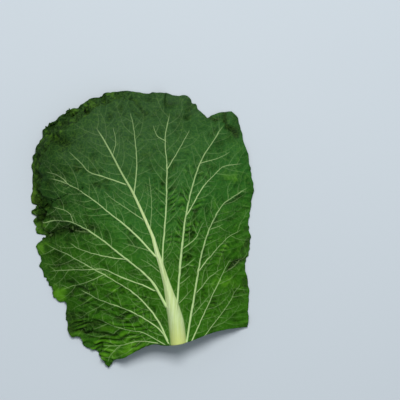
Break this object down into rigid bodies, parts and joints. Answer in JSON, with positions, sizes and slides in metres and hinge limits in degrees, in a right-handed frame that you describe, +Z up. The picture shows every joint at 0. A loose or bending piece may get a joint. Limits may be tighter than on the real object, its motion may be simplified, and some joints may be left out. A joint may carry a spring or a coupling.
{
  "type": "napa cabbage leaf",
  "caption": "Broad green cabbage leaf lying outer side up as a low dome on its wavy edge, with raised branching veins and a thick pale rib cut off at the base.",
  "frame": {"origin": "on the surface that the leaf lies on, under the middle of its bounding box", "axes": "+Y from the cut end of the rib towards the leaf's tip, +Z up from the surface, +X to the right seen from above with the tip away"},
  "size_m": [0.2242, 0.2774, 0.0393],
  "materials": {
    "leaf": "fresh green leaf, satin and slightly waxy, with pale yellow-green rib and veins"
  },
  "bodies": {
    "root": {"leaf": "leaf"}
  },
  "joints": []
}
